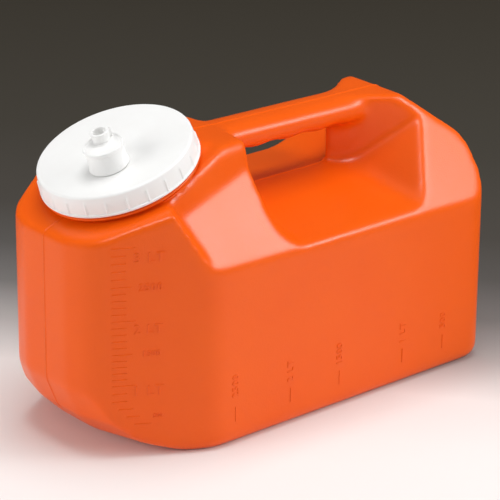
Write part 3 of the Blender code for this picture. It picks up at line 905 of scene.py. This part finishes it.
def make_closure(polypropylene):
    """The lid that plugs the spout: a dished disc over a hollow plug, with a hollow finned knob."""
    low = SPOUT_HEIGHT + FIT_GAP
    high = low + LID_THICKNESS
    plug = SPOUT_BORE_RADIUS - FIT_GAP
    edge = SPOUT_TOP_RADIUS + LID_OVERHANG
    rim = edge - LID_RIM_WIDTH
    under, over, within = LID_EDGE_RADII
    outline = (
        [(0.0, low), (plug - LID_PLUG_WALL, low)]
        + [(plug - LID_PLUG_WALL, low - LID_PLUG_DEPTH), (plug - 0.5 * MM, low - LID_PLUG_DEPTH)]
        + [(plug, low - LID_PLUG_DEPTH + 0.9 * MM), (plug, low)]
        + arc((edge - under, low + under), under, -90, 0, 4)
        + arc((edge - over, high - over), over, 0, 90, 4)
        + arc((rim + within, high - within), within, 90, 150, 2)
        + [(rim - 0.35 * MM, high - LID_DISH + 0.1 * MM), (rim - 0.7 * MM, high - LID_DISH)]
        + [(0.0, high - LID_DISH)]
    )
    lid = add_object("lid_blank", spun(outline, steps=96, closed=False))
    knob_low = high - LID_DISH - KNOB_SINK
    knob_high = high - LID_DISH + KNOB_HEIGHT
    bore = KNOB_TOP_RADIUS - KNOB_WALL
    foot = KNOB_TOP_RADIUS - KNOB_TAPER
    fillet, outer, inner = KNOB_EDGE_RADII
    knob_outline = (
        [(0.0, knob_low), (foot + fillet, knob_low)]
        + arc((foot + fillet, knob_low + KNOB_SINK + fillet), fillet, 270, 180, 4)
        + arc((KNOB_TOP_RADIUS - outer, knob_high - outer), outer, 0, 90, 4)
        + arc((bore + inner, knob_high - inner), inner, 90, 180, 3)
        + [(bore - 0.2 * MM, knob_high - KNOB_BORE_DEPTH), (0.0, knob_high - KNOB_BORE_DEPTH)]
    )
    knob = spun(knob_outline, steps=64, closed=False)
    bmesh.ops.translate(knob, verts=knob.verts, vec=KNOB_OFFSET)
    combine(lid, knob, "UNION")
    fin = bmesh.new()
    bmesh.ops.create_cube(fin, size=1.0)
    reach = KNOB_FIN_OUT + KNOB_WALL - 0.4 * MM
    bmesh.ops.scale(fin, verts=fin.verts, vec=(reach, KNOB_FIN_WIDTH, knob_high - knob_low))
    round_edges(fin, fin.edges[:], KNOB_FIN_EDGE_RADIUS)
    middle = bore + 0.4 * MM + reach / 2
    bmesh.ops.translate(
        fin, verts=fin.verts, vec=(middle, 0, (knob_low + knob_high) / 2 - 0.1 * MM)
    )
    turn = Matrix.Rotation(KNOB_FIN_TURN, 3, "Z")
    bmesh.ops.rotate(fin, verts=fin.verts, cent=(0, 0, 0), matrix=turn)
    bmesh.ops.translate(fin, verts=fin.verts, vec=KNOB_OFFSET)
    combine(lid, fin, "UNION")
    finish_piece(
        "knobbed_closure",
        taken_mesh(lid),
        "closure",
        polypropylene,
        ("spout_closure",),
        spout_place(),
    )


# Materials -----------------------------------------------------------------------


def colour(code):
    """Linear colour of an sRGB hex value."""
    values = [int(code[start : start + 2], 16) / 255 for start in (1, 3, 5)]
    linear = [v / 12.92 if v <= 0.04045 else ((v + 0.055) / 1.055) ** 2.4 for v in values]
    return (*linear, 1.0)


def node(tree, kind, inputs=(), **settings):
    """Adds a node with its settings. Each input gets a value or a link from another node."""
    made = tree.nodes.new(kind)
    for name, value in settings.items():
        setattr(made, name, value)
    for socket, value in dict(inputs).items():
        if isinstance(value, bpy.types.NodeSocket):
            tree.links.new(value, made.inputs[socket])
        else:
            made.inputs[socket].default_value = value
    return made


def new_material(name):
    material = bpy.data.materials.new(name)
    material.use_nodes = True
    return material, material.node_tree, material.node_tree.nodes["Principled BSDF"]


def blown_polyethylene():
    """Orange high-density polyethylene, blow-moulded in a finely etched mould.

    The skin is waxy and glossy with a fine grain.
    """
    material, tree, shader = new_material("orange_polyethylene_blow_moulded")
    place = node(tree, "ShaderNodeTexCoord").outputs["Object"]
    # Etched grain, 0.7 mm from one grain to the next
    grain = node(
        tree, "ShaderNodeTexNoise", {"Vector": place, "Scale": 1 / (0.7 * MM), "Detail": 2.0}
    )
    # Flow marks, 35 mm apart, that make the gloss a little uneven
    flow = node(
        tree, "ShaderNodeTexNoise", {"Vector": place, "Scale": 1 / (35.0 * MM), "Detail": 3.0}
    )
    tint = node(
        tree,
        "ShaderNodeMix",
        {"Factor": flow.outputs["Fac"], "A": colour("#EC5806"), "B": colour("#F05F09")},
        data_type="RGBA",
    )
    gloss = node(
        tree,
        "ShaderNodeMapRange",
        {"Value": flow.outputs["Fac"], "To Min": 0.26, "To Max": 0.36},
    )
    bump = node(
        tree,
        "ShaderNodeBump",
        {"Height": grain.outputs["Fac"], "Strength": 0.9, "Distance": 0.09 * MM},
    )
    tree.links.new(tint.outputs["Result"], shader.inputs["Base Color"])
    tree.links.new(gloss.outputs["Result"], shader.inputs["Roughness"])
    tree.links.new(bump.outputs["Normal"], shader.inputs["Normal"])
    shader.inputs["IOR"].default_value = 1.53
    shader.inputs["Specular IOR Level"].default_value = 0.28
    return material


def moulded_polypropylene():
    """White polypropylene, injection-moulded: a satin skin with faint flow marks."""
    material, tree, shader = new_material("white_polypropylene_moulded")
    place = node(tree, "ShaderNodeTexCoord").outputs["Object"]
    # Flow marks, 12 mm apart
    flow = node(
        tree, "ShaderNodeTexNoise", {"Vector": place, "Scale": 1 / (12.0 * MM), "Detail": 2.0}
    )
    tint = node(
        tree,
        "ShaderNodeMix",
        {"Factor": flow.outputs["Fac"], "A": colour("#EFEEEC"), "B": colour("#F3F3F2")},
        data_type="RGBA",
    )
    # Fine satin texture, 0.5 mm
    satin = node(
        tree, "ShaderNodeTexNoise", {"Vector": place, "Scale": 1 / (0.5 * MM), "Detail": 1.0}
    )
    bump = node(
        tree,
        "ShaderNodeBump",
        {"Height": satin.outputs["Fac"], "Strength": 0.1, "Distance": 0.02 * MM},
    )
    tree.links.new(tint.outputs["Result"], shader.inputs["Base Color"])
    tree.links.new(bump.outputs["Normal"], shader.inputs["Normal"])
    shader.inputs["Roughness"].default_value = 0.38
    shader.inputs["IOR"].default_value = 1.49
    return material


def liner_foam():
    """Closed-cell polyethylene foam, cut from sheet: matt, with fine cells."""
    material, tree, shader = new_material("polyethylene_foam_sheet")
    place = node(tree, "ShaderNodeTexCoord").outputs["Object"]
    # Cells 0.4 mm across
    cells = node(tree, "ShaderNodeTexVoronoi", {"Vector": place, "Scale": 1 / (0.4 * MM)})
    tint = node(
        tree,
        "ShaderNodeMix",
        {"Factor": cells.outputs["Distance"], "A": colour("#D9D8D2"), "B": colour("#E9E8E3")},
        data_type="RGBA",
    )
    bump = node(
        tree,
        "ShaderNodeBump",
        {"Height": cells.outputs["Distance"], "Strength": 0.4, "Distance": 0.1 * MM},
    )
    tree.links.new(tint.outputs["Result"], shader.inputs["Base Color"])
    tree.links.new(bump.outputs["Normal"], shader.inputs["Normal"])
    shader.inputs["Roughness"].default_value = 0.85
    return material


def paper_with_painted_shade():
    """Matt studio paper, pale in front, with painted shade graded to dark grey behind the object,
    where the studio light falls off.
    """
    material, tree, shader = new_material("studio_paper_with_painted_shade")
    place = node(tree, "ShaderNodeTexCoord").outputs["Object"]
    # X of the turned coordinates runs away from the viewer
    away = node(
        tree, "ShaderNodeMapping", {"Vector": place, "Rotation": (0, 0, -PAINTED_SHADE_TURN)}
    )
    split = node(tree, "ShaderNodeSeparateXYZ", {"Vector": away.outputs["Vector"]})
    near, far = PAINTED_SHADE_STOPS[0][0], PAINTED_SHADE_STOPS[-1][0]
    share = node(
        tree,
        "ShaderNodeMapRange",
        {"Value": split.outputs["X"], "From Min": near * MM, "From Max": far * MM},
    )
    # Painted shade: the paper's colour goes from pale to dark grey with distance behind the object
    ramp = node(tree, "ShaderNodeValToRGB", {"Fac": share.outputs["Result"]})
    elements = ramp.color_ramp.elements
    while len(elements) < len(PAINTED_SHADE_STOPS):
        elements.new(0.5)
    for element, (distance, _) in zip(elements, PAINTED_SHADE_STOPS):
        element.position = (distance - near) / (far - near)
    for element, (_, code) in zip(elements, PAINTED_SHADE_STOPS):
        element.color = colour(code)
    tree.links.new(ramp.outputs["Color"], shader.inputs["Base Color"])
    shader.inputs["Roughness"].default_value = 0.9
    shader.inputs["Specular IOR Level"].default_value = 0.1
    return material


# Stage ---------------------------------------------------------------------------


def make_floor():
    bm = bmesh.new()
    bmesh.ops.create_grid(bm, x_segments=8, y_segments=8, size=3.0)
    floor = add_object("studio_paper", bm)
    floor.data.materials.append(paper_with_painted_shade())


def soft_light(name, toward, distance, width, height, power, shown="both"):
    """A rectangular soft lamp in a direction from the object, facing it.

    It can be kept out of the gloss, or shown in the gloss only.
    """
    lamp = bpy.data.lights.new(name, "AREA")
    lamp.shape = "RECTANGLE"
    lamp.size = width
    lamp.size_y = height
    lamp.energy = power
    thing = bpy.data.objects.new(name, lamp)
    bpy.context.scene.collection.objects.link(thing)
    toward = Vector(toward).normalized()
    thing.location = Vector((0, 0, DECK_HEIGHT / 2)) + distance * toward
    thing.rotation_euler = toward.to_track_quat("Z", "Y").to_euler()
    thing.visible_glossy = shown != "matt"
    thing.visible_diffuse = shown != "gloss"


def make_lights():
    soft_light("key_sheen", (0.55, -0.54, 0.64), 1.3, 0.44, 0.62, 12.0, shown="gloss")
    soft_light("top_sheen", (-0.35, -0.32, 0.88), 1.3, 0.35, 0.25, 8.0, shown="gloss")
    soft_light("key_right", (0.60, -0.48, 0.64), 1.3, 0.62, 0.62, 3.0, shown="matt")
    soft_light("overhead", (0.0, 0.0, 1.0), 1.4, 0.8, 0.8, 11.0, shown="matt")
    soft_light("left_fill", (-0.92, 0.30, 0.30), 1.6, 1.0, 0.8, 11.0, shown="matt")
    soft_light("right_fill", (0.52, -0.78, 0.35), 1.6, 1.0, 0.8, 11.0, shown="matt")
    world = bpy.data.worlds.new("studio")
    world.use_nodes = True
    tree = world.node_tree
    # The room's walls are dark, so they show little in the gloss, yet the air around is softly lit
    ray = node(tree, "ShaderNodeLightPath")
    seen = ray.outputs["Is Camera Ray"]
    for kind in ("Is Glossy Ray", "Is Transmission Ray"):
        either = node(tree, "ShaderNodeMath", {0: seen, 1: ray.outputs[kind]}, operation="MAXIMUM")
        seen = either.outputs["Value"]
    strength = node(
        tree, "ShaderNodeMapRange", {"Value": seen, "To Min": ROOM_LIGHT, "To Max": ROOM_WALLS}
    )
    background = tree.nodes["Background"]
    background.inputs["Color"].default_value = (1.0, 1.0, 1.0, 1.0)
    tree.links.new(strength.outputs["Result"], background.inputs["Strength"])
    bpy.context.scene.world = world


def make_camera():
    right = Vector((math.cos(CAMERA_TURN), -math.sin(CAMERA_TURN), 0))
    ahead = Vector(
        (
            math.sin(CAMERA_TURN) * math.cos(CAMERA_FALL),
            math.cos(CAMERA_TURN) * math.cos(CAMERA_FALL),
            -math.sin(CAMERA_FALL),
        )
    )
    axes = Matrix((right, right.cross(ahead), -ahead)).transposed().to_4x4()
    camera = bpy.data.objects.new("camera", bpy.data.cameras.new("camera"))
    bpy.context.scene.collection.objects.link(camera)
    camera.matrix_world = (
        Matrix.Translation(CAMERA_AIM - CAMERA_DISTANCE * ahead)
        @ axes
        @ Matrix.Rotation(CAMERA_ROLL, 4, "Z")
    )
    camera.data.lens = CAMERA_LENS
    camera.data.sensor_width = 36.0
    bpy.context.scene.camera = camera


def main():
    bpy.context.scene.view_settings.view_transform = "Standard"
    hdpe = blown_polyethylene()
    polypropylene = moulded_polypropylene()
    bottle = make_body(hdpe)
    surface = BVHTree.FromObject(bottle, bpy.context.evaluated_depsgraph_get())
    front_scale(surface, hdpe)
    side_scale(surface, hdpe)
    make_cap(polypropylene)
    make_spout(polypropylene)
    make_closure(polypropylene)
    liner = frame["nodes"]["cap_liner"]
    liner.data.materials.clear()
    liner.data.materials.append(liner_foam())
    make_floor()
    make_lights()
    make_camera()


main()
